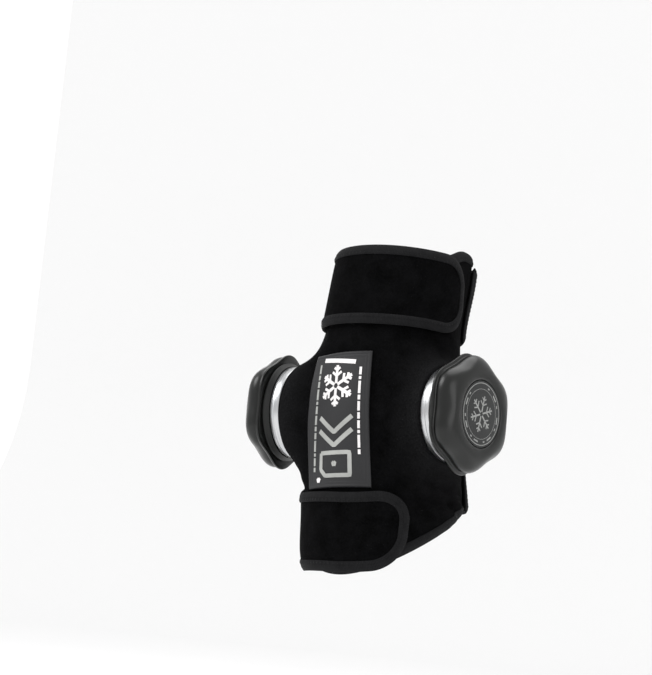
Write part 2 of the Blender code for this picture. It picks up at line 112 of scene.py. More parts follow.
CLOTH_FADE_BELOW = 0.0060
LAYER_SHARE = 0.4
STRAPS = {
    "top_strap": {"low": 0.0573, "high": 0.1040, "hinge": -70.0, "end": 97.0, "climbs": False},
    "bottom_strap": {"low": -0.1022, "high": -0.0585, "hinge": -62.0, "end": 49.0, "climbs": True},
}
STRAP_ROOT_TURN = 128.0
METRES_PER_TURN_DEGREE = 0.00088
STRAP_INSIDE = 0.0018
STRAP_OUTSIDE = 0.0042
STRAP_END_RADIUS = 0.0175
STRAP_CLIMB_TURN = (45.0, 170.0)
STRAP_END_RISE_SHARE = 0.4
BAG_OUTSIDE = -0.0045
BAG_CENTRE_TURN = 75.0
BAG_HALF_TURN = 50.0
PATCH_CENTRE = (-0.0055, -0.0088)
PATCH_LEAN = math.radians(3.1)
PATCH_TURN_RADIUS = 0.0450
BLEND_DIRECTION = Vector((0.4, -0.917, 0.0))
BLEND_REACH = 0.0045
SIDES = {"left": -1, "right": 1}


# ---------------------------------------------------------------- sizes and colours a user would change


def length_property(name, description, default):
    return bpy.props.FloatProperty(
        name=name, description=description, default=default, unit="LENGTH", precision=5
    )


def colour_property(name, description, default):
    return bpy.props.StringProperty(name=name, description=description, default=default)


class WrapClothSettings(bpy.types.PropertyGroup):
    """Sizes and colours of the cloth, tapes and stitches."""

    cell: length_property("Cell", "Width of one cell of the cloth's mesh", 0.0009)
    tape_width: length_property("Tape width", "How far the binding tape lies over the cloth's face", 0.0033)
    tape_thickness: length_property("Tape thickness", "Thickness of the tape on each face", 0.0007)
    stitch_pitch: length_property("Stitch pitch", "Distance from one stitch to the next", 0.0030)
    fold_depth: length_property("Fold depth", "Depth of the sleeve's soft folds", 0.0012)
    pile_colour: colour_property("Pile colour", "sRGB hex of the loop pile", "#0c0c0d")
    tape_colour: colour_property("Tape colour", "sRGB hex of the binding tape", "#1f1f20")
    thread_colour: colour_property("Thread colour", "sRGB hex of the sewing thread", "#121213")
    lining_colour: colour_property("Lining colour", "sRGB hex of the knitted lining", "#242427")
    bag_colour: colour_property("Bag colour", "sRGB hex of the coated bag cloth", "#2a3038")


class WrapClosureSettings(bpy.types.PropertyGroup):
    """Sizes and colours of the caps, rings and necks."""

    lobes: bpy.props.IntProperty(name="Lobes", description="Grip lobes around a cap", default=6, min=3)
    lobe_depth: length_property("Lobe depth", "How far the cap is scooped between its lobes", 0.0032)
    cap_colour: colour_property("Cap colour", "sRGB hex of the cap's plastic", "#0e0f0e")
    neck_colour: colour_property("Neck colour", "sRGB hex of the neck's plastic", "#0d0e0d")
    badge_colour: colour_property("Badge colour", "sRGB hex of the printed disc", "#1a1b1b")
    mark_colour: colour_property("Mark colour", "sRGB hex of the disc's silver print", "#8b8c8a")
    metal_colour: colour_property("Metal colour", "sRGB hex of the clamp rings", "#b0b0b0")


class WrapPatchSettings(bpy.types.PropertyGroup):
    """Sizes and colours of the moulded patch."""

    width: length_property("Width", "Width across the back", 0.047)
    height: length_property("Height", "Height up the back", 0.0874)
    base_colour: colour_property("Base colour", "sRGB hex of the patch", "#19191b")
    light_colour: colour_property("Light marks", "sRGB hex of the light marks", "#d2cfcf")
    grey_colour: colour_property("Grey marks", "sRGB hex of the grey marks", "#8f908d")


class WrapStageSettings(bpy.types.PropertyGroup):
    """Camera and floor."""

    azimuth: bpy.props.FloatProperty(name="Azimuth", description="Camera angle, degrees", default=34.6)
    elevation: bpy.props.FloatProperty(name="Elevation", description="Camera height, degrees", default=-9.0)
    roll: bpy.props.FloatProperty(name="Roll", description="Camera roll, degrees", default=5.2)
    distance: length_property("Distance", "Camera distance", 1.2)
    lens: bpy.props.FloatProperty(name="Lens", description="Focal length, mm on a 36 mm sensor", default=97.9)
    aim_left: length_property("Aim left", "How far left of the necks' midpoint the camera aims", 0.0306)
    aim_up: length_property("Aim up", "How far above the necks' midpoint the camera aims", 0.0496)
    floor_height: length_property("Floor height", "Height of the floor", -0.235)
    floor_colour: colour_property("Floor colour", "sRGB hex of the floor", "#f6f6f6")


# ---------------------------------------------------------------- materials


def linear(hex_colour):
    """An sRGB hex colour as linear RGBA."""
    values = [int(hex_colour[k : k + 2], 16) / 255.0 for k in (1, 3, 5)]
    return (*(v / 12.92 if v <= 0.04045 else ((v + 0.055) / 1.055) ** 2.4 for v in values), 1.0)


def node(tree, kind, settings=None, links=None):
    """Adds a node; settings are its properties and input values by name, links are sockets by input name."""
    made = tree.nodes.new(kind)
    for key, value in (settings or {}).items():
        if hasattr(made, key):
            setattr(made, key, value)
        else:
            made.inputs[key].default_value = value
    for key, socket in (links or {}).items():
        tree.links.new(socket, made.inputs[key])
    return made


def new_material(name, colour, roughness, **values):
    """A Principled material; values are more shader sockets by name with _ for spaces."""
    made = bpy.data.materials.new(name)
    made.use_nodes = True
    shader = made.node_tree.nodes["Principled BSDF"]
    shader.inputs["Base Color"].default_value = linear(colour)
    shader.inputs["Roughness"].default_value = roughness
    for key, value in values.items():
        shader.inputs[key.replace("_", " ")].default_value = value
    return made, made.node_tree, shader


def ramp(tree, factor, low, high, start, end):
    """A colour ramp between two linear colours."""
    made = node(tree, "ShaderNodeValToRGB", links={"Fac": factor})
    made.color_ramp.elements[0].position = start
    made.color_ramp.elements[1].position = end
    made.color_ramp.elements[0].color = low
    made.color_ramp.elements[1].color = high
    return made.outputs["Color"]


def loop_pile(colour):
    """Brushed loop pile laminated on neoprene: deep black and matt, with a short soft nap."""
    made, tree, shader = new_material(
        "brushed loop pile", colour, 1.0, Specular_IOR_Level=0.02, Sheen_Weight=0.005
    )
    shader.inputs["Sheen Roughness"].default_value = 0.45
    shader.inputs["Sheen Tint"].default_value = linear("#8f8f92")
    place = node(tree, "ShaderNodeTexCoord").outputs["Object"]
    # Loops stand about 0.7 mm apart; drawn at 0.9 mm so that they show.
    loops = node(
        tree, "ShaderNodeTexNoise", {"Scale": 1100.0, "Detail": 3.0, "Roughness": 0.7}, {"Vector": place}
    )
    nap = node(
        tree, "ShaderNodeTexNoise", {"Scale": 90.0, "Detail": 4.0, "Roughness": 0.6}, {"Vector": place}
    )
    mixed = node(tree, "ShaderNodeMix", {"Factor": 0.5}, {"A": loops.outputs["Fac"], "B": nap.outputs["Fac"]})
    dark = linear("#020202")
    light = linear(colour)
    base = ramp(tree, mixed.outputs["Result"], dark, light, 0.36, 0.68)
    stretched = node(tree, "ShaderNodeVertexColor", {"layer_name": "stretch"})
    thin = node(
        tree,
        "ShaderNodeMix",
        {"data_type": "RGBA"},
        {
            "Factor": stretched.outputs["Color"],
            "A": base,
            "B": ramp(tree, loops.outputs["Fac"], linear("#0e0e0f"), linear("#222223"), 0.3, 0.7),
        },
    )
    tree.links.new(thin.outputs["Result"], shader.inputs["Base Color"])
    fine = node(
        tree, "ShaderNodeBump", {"Strength": 0.55, "Distance": 0.0006}, {"Height": loops.outputs["Fac"]}
    )
    soft = node(
        tree,
        "ShaderNodeBump",
        {"Strength": 0.35, "Distance": 0.0012},
        {"Height": nap.outputs["Fac"], "Normal": fine.outputs["Normal"]},
    )
    tree.links.new(soft.outputs["Normal"], shader.inputs["Normal"])
    return made


def woven_tape(colour):
    """Woven elastic binding tape: fine ribs across its length, a touch lighter and smoother than the pile."""
    made, tree, shader = new_material(
        "woven binding tape", colour, 0.8, Specular_IOR_Level=0.05, Sheen_Weight=0.01
    )
    shader.inputs["Sheen Roughness"].default_value = 0.4
    place = node(tree, "ShaderNodeUVMap", {"uv_map": "metres"}).outputs["UV"]
    # Ribs 0.9 mm apart along the tape, warp threads 0.6 mm apart across it.
    ribs = node(
        tree, "ShaderNodeTexWave", {"Scale": 350.0, "Distortion": 0.6, "Detail": 1.0}, {"Vector": place}
    )
    warp = node(
        tree, "ShaderNodeTexWave", {"bands_direction": "Y", "Scale": 520.0, "Distortion": 0.4}, {
            "Vector": place
        }
    )
    weave = node(
        tree, "ShaderNodeMath", {"operation": "MULTIPLY"}, {0: ribs.outputs["Fac"], 1: warp.outputs["Fac"]}
    )
    cloudy = node(
        tree,
        "ShaderNodeTexNoise",
        {"Scale": 160.0, "Detail": 3.0},
        {"Vector": node(tree, "ShaderNodeTexCoord").outputs["Object"]},
    )
    shade = node(
        tree, "ShaderNodeMix", {"Factor": 0.5}, {"A": weave.outputs["Value"], "B": cloudy.outputs["Fac"]}
    )
    base = ramp(tree, shade.outputs["Result"], linear("#111112"), linear(colour), 0.15, 0.75)
    tree.links.new(base, shader.inputs["Base Color"])
    bump = node(
        tree, "ShaderNodeBump", {"Strength": 0.6, "Distance": 0.0004}, {"Height": weave.outputs["Value"]}
    )
    tree.links.new(bump.outputs["Normal"], shader.inputs["Normal"])
    return made


def grained(name, colour, roughness, grain, depth, spread=0.12, mottle=0.22, **values):
    """A material with a fine random grain: grain in metres, and a little wear in its roughness."""
    made, tree, shader = new_material(name, colour, roughness, **values)
    place = node(tree, "ShaderNodeTexCoord").outputs["Object"]
    speckle = node(tree, "ShaderNodeTexNoise", {"Scale": 1.0 / grain, "Detail": 3.0}, {"Vector": place})
    wear = node(
        tree, "ShaderNodeTexNoise", {"Scale": 45.0, "Detail": 5.0, "Roughness": 0.65}, {"Vector": place}
    )
    gloss = node(
        tree,
        "ShaderNodeMapRange",
        {"To Min": roughness - spread / 2, "To Max": roughness + spread},
        {"Value": wear.outputs["Fac"]},
    )
    tree.links.new(gloss.outputs["Result"], shader.inputs["Roughness"])
    bright, dark = linear(colour), tuple((1.0 - mottle) * v for v in linear(colour)[:3]) + (1.0,)
    tree.links.new(ramp(tree, wear.outputs["Fac"], dark, bright, 0.3, 0.62), shader.inputs["Base Color"])
    bump = node(
        tree, "ShaderNodeBump", {"Strength": 0.3, "Distance": depth}, {"Height": speckle.outputs["Fac"]}
    )
    tree.links.new(bump.outputs["Normal"], shader.inputs["Normal"])
    return made


def turned_aluminium(colour):
    """Turned and satin-brushed aluminium: fine rings of tool marks around its axis, soft bright streaks."""
    made, tree, shader = new_material("turned aluminium", colour, 0.28, Metallic=1.0)
    place = node(tree, "ShaderNodeUVMap", {"uv_map": "metres"}).outputs["UV"]
    stretched = node(tree, "ShaderNodeMapping", {"Scale": (40.0, 2600.0, 1.0)}, {"Vector": place})
    # Tool marks about 0.3 mm apart across the ring's face, long streaks around it.
    marks = node(
        tree, "ShaderNodeTexNoise", {"Scale": 1.0, "Detail": 3.0}, {"Vector": stretched.outputs["Vector"]}
    )
    gloss = node(tree, "ShaderNodeMapRange", {"To Min": 0.2, "To Max": 0.4}, {"Value": marks.outputs["Fac"]})
    tree.links.new(gloss.outputs["Result"], shader.inputs["Roughness"])
    base = ramp(tree, marks.outputs["Fac"], linear("#9a9da1"), linear(colour), 0.3, 0.6)
    tree.links.new(base, shader.inputs["Base Color"])
    bump = node(
        tree, "ShaderNodeBump", {"Strength": 0.25, "Distance": 0.0002}, {"Height": marks.outputs["Fac"]}
    )
    tree.links.new(bump.outputs["Normal"], shader.inputs["Normal"])
    return made


def knitted_lining(colour):
    """Smooth warp-knit lining: small wales running up the leg."""
    made, tree, shader = new_material("knitted lining", colour, 0.85, Sheen_Weight=0.15)
    place = node(tree, "ShaderNodeUVMap", {"uv_map": "metres"}).outputs["UV"]
    # Wales 1.1 mm apart, courses 0.8 mm apart.
    wales = node(tree, "ShaderNodeTexWave", {"Scale": 285.0, "Distortion": 0.3}, {"Vector": place})
    rows = node(tree, "ShaderNodeTexWave", {"bands_direction": "Y", "Scale": 390.0}, {"Vector": place})
    knit = node(
        tree, "ShaderNodeMath", {"operation": "MULTIPLY"}, {0: wales.outputs["Fac"], 1: rows.outputs["Fac"]}
    )
    base = ramp(tree, knit.outputs["Value"], linear("#101012"), linear(colour), 0.1, 0.8)
    tree.links.new(base, shader.inputs["Base Color"])
    bump = node(
        tree, "ShaderNodeBump", {"Strength": 0.5, "Distance": 0.0004}, {"Height": knit.outputs["Value"]}
    )
    tree.links.new(bump.outputs["Normal"], shader.inputs["Normal"])
    return made


MATERIALS = {}


def material(name):
    """Each finish is made once, from the settings' colours."""
    if name in MATERIALS:
        return MATERIALS[name]
    cloth = bpy.context.scene.wrap_cloth
    closure = bpy.context.scene.wrap_closure
    patch = bpy.context.scene.wrap_patch
    makers = {
        "loop pile": lambda: loop_pile(cloth.pile_colour),
        "tape": lambda: woven_tape(cloth.tape_colour),
        # Bonded polyester thread: dark, slightly glossy from its wax.
        "thread": lambda: grained(
            "bonded polyester thread", cloth.thread_colour, 0.6, 0.0002, 0.0001, Specular_IOR_Level=0.1
        ),
        # Moulded hook tape: stiff nylon hooks, drawn as a coarse grain.
        "hook": lambda: grained("moulded hook tape", "#161617", 0.55, 0.0009, 0.0006),
        "lining": lambda: knitted_lining(cloth.lining_colour),
        # Coated nylon: a dull plastic film over cloth.
        "bag": lambda: grained("coated nylon", cloth.bag_colour, 0.45, 0.0008, 0.0003),
        # Moulded ABS with a light polish: soft broad highlights, faint scuffs.
        "cap": lambda: grained(
            "moulded ABS",
            closure.cap_colour,
            0.3,
            0.0010,
            0.00003,
            spread=0.03,
            mottle=0.03,
            Specular_IOR_Level=0.28,
        ),
        # Moulded polypropylene: waxier and duller than the caps.
        "neck": lambda: grained(
            "moulded polypropylene", closure.neck_colour, 0.45, 0.0008, 0.00008, Specular_IOR_Level=0.25
        ),
        # Screen-printed polycarbonate film.
        "badge": lambda: grained(
            "printed film", closure.badge_colour, 0.35, 0.0006, 0.00004, Specular_IOR_Level=0.3
        ),
        # Silver screen ink: flat, a little metallic.
        "silver ink": lambda: grained("silver ink", closure.mark_colour, 0.4, 0.0006, 0.00003, Metallic=0.35),
        "metal": lambda: turned_aluminium(closure.metal_colour),
        # Silicone rubber: pale grey and dull.
        "seal": lambda: grained("silicone rubber", "#6f7072", 0.6, 0.0008, 0.0001),
        # Soft PVC poured in a mould: matt dark grey with a fine eggshell grain.
        "patch": lambda: grained(
            "moulded soft PVC", patch.base_colour, 0.55, 0.0007, 0.00018, Specular_IOR_Level=0.3
        ),
        "light mark": lambda: grained(
            "white PVC fill", patch.light_colour, 0.45, 0.0007, 0.0001, spread=0.06
        ),
        "grey mark": lambda: grained("grey PVC fill", patch.grey_colour, 0.45, 0.0007, 0.0001, spread=0.06),
    }
    MATERIALS[name] = makers[name]()
    return MATERIALS[name]


# ---------------------------------------------------------------- the wrap's surface


def sections(height):
    """Half width, half depth and forward shift at each height, by the smooth curve through the sections."""
    rows = SECTIONS
    last = len(rows) - 1
    height = np.clip(height, rows[0, 0], rows[-1, 0])
    low = np.clip(np.searchsorted(rows[:, 0], height, side="right") - 1, 0, last - 1)
    p0, p1, p2, p3 = (rows[np.clip(low + k, 0, last)] for k in (-1, 0, 1, 2))
    span = (p2[..., :1] - p1[..., :1])
    t = (height[..., None] - p1[..., :1]) / span
    slope_low = (p2 - p0) / (p2[..., :1] - p0[..., :1]) * span
    slope_high = (p3 - p1) / (p3[..., :1] - p1[..., :1]) * span
    value = (
        (2 * t**3 - 3 * t**2 + 1) * p1
        + (t**3 - 2 * t**2 + t) * slope_low
        + (3 * t**2 - 2 * t**3) * p2
        + (t**3 - t**2) * slope_high
    )
    return value[..., 1], value[..., 2], value[..., 3]


def smooth_step(value):
    part = np.clip(value, 0.0, 1.0)
    return part * part * (3.0 - 2.0 * part)


def flare(turn, height):
    """How far the upper front corner stands away from the leg."""
    around = (turn + 180.0) % 360.0 - 180.0
    return FLARE_DEPTH * bell(around, FLARE_TURN, FLARE_WIDTH) * smooth_step(
        (height - FLARE_START) / FLARE_HEIGHT
    )


def neck_axis(side):
    return np.array((side * math.cos(NECK_TILT), -math.sin(NECK_TILT), 0.0))


def neck_base(side):
    return np.array((side * NECK_DISTANCE, 0.0, 0.0))


def from_neck(points, side):
    """Distance from a neck's axis, and distance along it from the ring."""
    rel = points - neck_base(side)
    along = rel @ neck_axis(side)
    away = np.linalg.norm(rel - along[..., None] * neck_axis(side), axis=-1)
    return away, along


def wrap_points(turn, height, offset, drawn_to_neck=True, with_pull=False):
    """Points on the wrap; the cloth is drawn out to the neck's ring around each neck."""
    turn, height, offset = np.broadcast_arrays(*(np.asarray(v, dtype=float) for v in (turn, height, offset)))
    offset = offset + flare(turn, height)
    flat_radius = CLOTH_FLAT_RADIUS + LAYER_SHARE * np.minimum(0.0, offset)
    half_width, half_depth, forward = sections(height)
    angle = np.radians(turn)
    centre = np.stack((np.zeros_like(forward), forward, height), axis=-1)
    ray = np.stack(
        (
            (half_width + offset) * np.sin(angle),
            -(half_depth + offset) * np.cos(angle),
            np.zeros_like(forward),
        ),
        axis=-1,
    )
    scale = np.ones_like(forward)
    pull = np.zeros_like(forward)
    if drawn_to_neck:
        for side in SIDES.values():
            axis = neck_axis(side)
            slope = ray @ axis
            faces = (ray[..., 0] * side > 0) & (slope > 0.2 * np.linalg.norm(ray, axis=-1))
            to_ring = (neck_base(side) - centre) @ axis + offset - CLOTH_UNDER_RING
            reach = to_ring / np.where(faces, slope, 1.0)
            rel = centre + ray * reach[..., None] - neck_base(side)
            rel -= (rel @ axis)[..., None] * axis
            away = np.linalg.norm(rel, axis=-1)
            sideways = np.abs(rel[..., 1]) / np.maximum(away, NEAR_AXIS)
            below = np.clip(-rel[..., 2] / np.maximum(away, NEAR_AXIS), 0.0, 1.0)
            fade = CLOTH_FADE_UP + CLOTH_FADE_ROUND * sideways + CLOTH_FADE_BELOW * below
            past = away - flat_radius
            drawn = np.exp(-0.5 * (past + np.sqrt(past**2 + CLOTH_BEND**2)) / fade)
            scale = np.where(faces, 1.0 + (reach - 1.0) * drawn, scale)
            pull = np.where(faces, drawn * (away > 0.9 * flat_radius), pull)
    points = centre + ray * scale[..., None]
    return (points, pull) if with_pull else points


def metres_per_degree(turn, height):
    half_width, half_depth, _ = sections(np.asarray(height, dtype=float))
    angle = np.radians(turn)
    return np.radians(np.hypot(half_width * np.cos(angle), half_depth * np.sin(angle)))


def instep_rise(turn):
    """How far the sleeve's lower edge climbs from the heel towards the instep."""
    return INSTEP_RISE * np.sin(np.radians(INSTEP_RISE_RATE * turn)) ** 2


def strap_rise(turn):
    """How far the bottom strap climbs: high at the instep, low at the heel."""
    start, end = STRAP_CLIMB_TURN
    around_front = INSTEP_RISE * smooth_step((-turn - start) / (end - start))
    return np.where(turn > 0.0, STRAP_END_RISE_SHARE * instep_rise(turn), around_front)


def corner_drop(distance, radius):
    """How far an edge is set in by a round corner, at a distance from the sheet's end."""
    inside = radius - np.clip(distance, 0.0, radius)
    return radius - np.sqrt(radius**2 - inside**2)


def sleeve_high(turn):
    start, end = TOP_RISE_TURN
    edge = SLEEVE_TOP + TOP_RISE * smooth_step((turn - start) / (end - start))
    distance = (SLEEVE_HALF_TURN - np.abs(turn)) * metres_per_degree(turn, edge)
    return edge - corner_drop(distance, SLEEVE_CORNER_RADIUS)


def sleeve_low(turn):
    edge = SLEEVE_BOTTOM + instep_rise(turn)
    distance = (SLEEVE_HALF_TURN - np.abs(turn)) * metres_per_degree(turn, edge)
    return edge + corner_drop(distance, SLEEVE_CORNER_RADIUS)


def bell(value, centre, width):
    return np.exp(-(((value - centre) / width) ** 2))


def sleeve_folds(turn, height):
    """Soft folds of the worn sleeve: creases under each neck, slack above the heel and ripples at the top."""
    depth = bpy.context.scene.wrap_cloth.fold_depth
    side = np.abs(turn)
    under = np.sin((height * 620.0) + side * 0.09) * bell(height, -0.052, 0.014) * bell(side, 84.0, 26.0)
    crease = -1.6 * bell(height + 0.0005 * (side - 95.0), -0.056, 0.0045) * bell(side, 92.0, 20.0)
    above = 0.6 * np.sin(side * 0.16 + height * 90.0) * bell(height, 0.048, 0.012) * bell(side, 70.0, 30.0)
    long_wave = 0.5 * np.sin(np.radians(turn) * 3.0 + height * 31.0) * bell(height, -0.005, 0.075)
    return depth * (under + crease + above + long_wave)


# ---------------------------------------------------------------- mesh helpers


def add_mesh(name, verts, faces, look, uv=None, colours=None, smooth_angle=50.0):
    mesh = bpy.data.meshes.new(name)
    mesh.from_pydata([tuple(v) for v in verts], [], [tuple(f) for f in faces])
    mesh.update()
    if uv is not None:
        layer = mesh.uv_layers.new(name="metres")
        index = np.empty(len(mesh.loops), dtype=int)
        mesh.loops.foreach_get("vertex_index", index)
        layer.data.foreach_set("uv", np.asarray(uv)[index].astype(float).ravel())
    if colours is not None:
        layer = mesh.color_attributes.new(name="stretch", type="FLOAT_COLOR", domain="POINT")
        rgba = np.ones((len(verts), 4))
        rgba[:, :3] = np.asarray(colours)[:, None]
        layer.data.foreach_set("color", rgba.ravel())
    made = bpy.data.objects.new(name, mesh)
    bpy.context.scene.collection.objects.link(made)
    mesh.materials.append(look)
    mesh.shade_smooth()
    mesh.set_sharp_from_angle(angle=math.radians(smooth_angle))
    return made


def grid_faces(columns, rows, closed_columns=False, closed_rows=False, base=0):
    """Quads of a grid of points, columns first."""
    last_column = columns if closed_columns else columns - 1
    last_row = rows if closed_rows else rows - 1
    c, r = np.meshgrid(np.arange(last_column), np.arange(last_row), indexing="ij")
    c1, r1 = (c + 1) % columns, (r + 1) % rows
    quads = np.stack((c * rows + r, c1 * rows + r, c1 * rows + r1, c * rows + r1), axis=-1)
    return (quads.reshape(-1, 4) + base).tolist()


def loft(name, rings, look, along=None, around=None, ring=True, loop=False, smooth_angle=50.0):
    """A skin over rings of points: ring closes each of them, loop joins the last to the first."""
    columns, rows, _ = rings.shape
    faces = grid_faces(columns, rows, closed_columns=loop, closed_rows=ring)
    if ring and not loop:
        faces.append(list(range(rows))[::-1])
        faces.append(list(range((columns - 1) * rows, columns * rows)))
    uv = None
    if along is not None:
        uv = np.stack(np.meshgrid(along, around, indexing="ij"), axis=-1).reshape(-1, 2)
    made = add_mesh(name, rings.reshape(-1, 3), faces, look, uv=uv, smooth_angle=smooth_angle)
    face_outwards(made)
    return made


def face_outwards(made):
    shape = bmesh.new()
    shape.from_mesh(made.data)
    bmesh.ops.remove_doubles(shape, verts=shape.verts[:], dist=1e-6)
    bmesh.ops.recalc_face_normals(shape, faces=shape.faces[:])
    if shape.calc_volume(signed=True) < 0.0:
        bmesh.ops.reverse_faces(shape, faces=shape.faces[:])
    shape.to_mesh(made.data)
    shape.free()


def arc_lengths(points):
    return np.concatenate(((0.0,), np.cumsum(np.linalg.norm(np.diff(points, axis=0), axis=1))))


def even(path, step):
    """Points of a (turn, height) path at even steps along the wrap."""
    path = np.asarray(path, dtype=float)
    lengths = arc_lengths(wrap_points(path[:, 0], path[:, 1], 0.0))
    count = max(8, int(round(lengths[-1] / step)))
    at = np.linspace(0.0, lengths[-1], count + 1)
    return np.stack((np.interp(at, lengths, path[:, 0]), np.interp(at, lengths, path[:, 1])), axis=1), at


def edge_normals(path, closed=False):
    """Unit directions out of the sheet's edge, in its plane, for a clockwise path of (turn, height)."""
    scale = metres_per_degree(path[:, 0], path[:, 1])
    flat = np.stack((np.zeros(len(path)), path[:, 1]), axis=1)
    steps = np.diff(path[:, 0]) * 0.5 * (scale[1:] + scale[:-1])
    flat[1:, 0] = np.cumsum(steps)
    tangent = np.gradient(flat, axis=0)
    if closed:
        tangent[0] = tangent[-1] = tangent[0] + tangent[-1]
    tangent /= np.linalg.norm(tangent, axis=1)[:, None]
    return np.stack((-tangent[:, 1], tangent[:, 0]), axis=1), scale


def tape_section(inside, outside, width, thickness, reach):
    """The folded tape's outline as (distance past the cloth's edge, offset) points."""
    middle = 0.5 * (inside + outside)
    half = 0.5 * (outside - inside)
    face = (
        (-width, half - 0.2 * thickness),
        (-width, half + 0.55 * thickness),
        (-width + 0.4 * thickness, half + 0.9 * thickness),
        (-0.75 * width, half + 1.05 * thickness),
        (-0.5 * width, half + 1.0 * thickness),
        (-0.25 * width, half + 1.1 * thickness),
        (-0.3 * reach, half + 0.9 * thickness),
        (0.35 * reach, half + 0.45 * thickness),
        (0.75 * reach, half * 0.7),
        (reach, half * 0.25),
    )
    upper = [(edge, middle + away) for edge, away in face]
    lower = [(edge, middle - away) for edge, away in reversed(face)]
    return np.array(upper + lower)


def tape(name, path, inside, outside, reach, relief=None, closed=False):
    """Binding tape folded over a sheet's edge; path is the cloth's edge, clockwise, as (turn, height)."""
    cloth = bpy.context.scene.wrap_cloth
    path, along = even(path, 0.0008)
    normals, scale = edge_normals(path, closed)
    section = tape_section(inside, outside, cloth.tape_width, cloth.tape_thickness, reach)
    edge, offset = section[:, 0], section[:, 1]
    turn = path[:, :1] + normals[:, :1] * edge[None, :] / scale[:, None]
    height = path[:, 1:] + normals[:, 1:] * edge[None, :]
    middle = 0.5 * (inside + outside)
    ripple = np.sin(along * 2.0 * math.pi / cloth.stitch_pitch)
    seam = bell(edge, -STITCH_LINE * cloth.tape_width, 0.002)
    pucker = 1.0 + 0.05 * ripple[:, None] * seam[None, :]
    offset = middle + (offset[None, :] - middle) * pucker
    if relief is not None:
        offset = offset + relief(turn, height)
    rings = wrap_points(turn, height, offset)
    around = np.concatenate(((0.0,), np.cumsum(np.linalg.norm(np.diff(section, axis=0), axis=1))))
    return loft(name, rings, material("tape"), along=along, around=around)


def stitches(name, path, inset, offset, relief=None):
    """A row of thread stitches sunk a little into the tape, set in from the cloth's edge."""
    cloth = bpy.context.scene.wrap_cloth
    path, _ = even(path, cloth.stitch_pitch)
    normals, scale = edge_normals(path)
    turn = path[:, 0] - normals[:, 0] * inset / scale
    height = path[:, 1] - normals[:, 1] * inset
    lift = 0.0 if relief is None else relief(turn, height)
    centres = wrap_points(turn, height, offset + lift)
    outs = wrap_points(turn, height, offset + lift + 0.001) - centres
    verts, faces = [], []
    length, radius = 0.62 * cloth.stitch_pitch, 0.00028
    stations = ((-0.5, 0.25, -0.9), (-0.32, 0.9, 0.0), (0.0, 1.0, 0.35), (0.32, 0.9, 0.0), (0.5, 0.25, -0.9))
    for k in range(len(centres) - 1):
        run = centres[k + 1] - centres[k]
        run /= np.linalg.norm(run)
        out = outs[k] / np.linalg.norm(outs[k])
        across = np.cross(run, out)
        base = len(verts)
        for shift, size, lifted in stations:
            middle = centres[k] + run * shift * length + out * lifted * radius
            for corner in range(6):
                angle = corner * math.pi / 3.0
                verts.append(middle + (across * math.cos(angle) + out * math.sin(angle)) * radius * size)
        faces += grid_faces(len(stations), 6, closed_rows=True, base=base)
        faces.append([base + c for c in range(6)][::-1])
        faces.append([base + 6 * (len(stations) - 1) + c for c in range(6)])
    made = add_mesh(name, np.array(verts), faces, material("thread"))
    face_outwards(made)
    return made


def put_on_neck(made, side):
    """Moves a mesh made around +Z onto a neck: its +Z along the neck's axis, its +Y up the leg."""
    axis = Vector(neck_axis(side))
    up = Vector((0.0, 0.0, 1.0))
    across = up.cross(axis)
    made.data.transform(
        Matrix.Translation(Vector(neck_base(side))) @ Matrix((across, up, axis)).transposed().to_4x4()
    )
    made.data.update()
    return made


def turned(name, profile, side, look, segments=144, shape=None, closed=True, smooth_angle=40.0):
    """A turned piece from (radius, distance along the axis) points; shape may change the radius by angle."""
    profile = np.array(profile, dtype=float)
    angles = np.linspace(0.0, 2.0 * math.pi, segments, endpoint=False)
    radius = np.repeat(profile[None, :, 0], segments, axis=0)
    if shape is not None:
        radius = shape(radius, angles[:, None])
    rings = np.stack(
        (
            radius * np.sin(angles)[:, None],
            radius * np.cos(angles)[:, None],
            np.repeat(profile[None, :, 1], segments, axis=0),
        ),
        axis=-1,
    )
    around = np.concatenate(((0.0,), np.cumsum(np.linalg.norm(np.diff(profile, axis=0), axis=1))))
    made = loft(
        name,
        rings,
        look,
        along=angles * 0.03,
        around=around,
        ring=closed,
        loop=True,
        smooth_angle=smooth_angle,
    )
    return put_on_neck(made, side)


def strokes(name, lines, place, look, height):
    """Raised bars: each line is (points, width) on a flat sheet, and place puts sheet points on the wrap."""
    verts, faces = [], []
    for points, width in lines:
        points = np.asarray(points, dtype=float)
        lengths = arc_lengths(points)
        count = max(2, int(lengths[-1] / 0.0012))
        at = np.linspace(0.0, lengths[-1], count + 1)
        line = np.stack([np.interp(at, lengths, points[:, k]) for k in (0, 1)], axis=1)
        tangent = np.gradient(line, axis=0)
        tangent /= np.linalg.norm(tangent, axis=1)[:, None]
        side = np.stack((-tangent[:, 1], tangent[:, 0]), axis=1) * width / 2
        bevel = 0.00012
        inner = side * (1.0 - 2.0 * bevel / width)
        corners = (
            (-side, -0.0001),
            (-side, height - bevel),
            (-inner, height),
            (inner, height),
            (side, height - bevel),
            (side, -0.0001),
        )
        base = len(verts)
        for k in range(len(line)):
            for shift, lift in corners:
                verts.append(place(line[k] + shift[k], lift))
        faces += grid_faces(len(line), len(corners), closed_rows=True, base=base)
        faces.append([base + c for c in range(len(corners))][::-1])
        faces.append([base + len(corners) * (len(line) - 1) + c for c in range(len(corners))])
    made = add_mesh(name, np.array(verts), faces, look, smooth_angle=35.0)
    face_outwards(made)
    return made


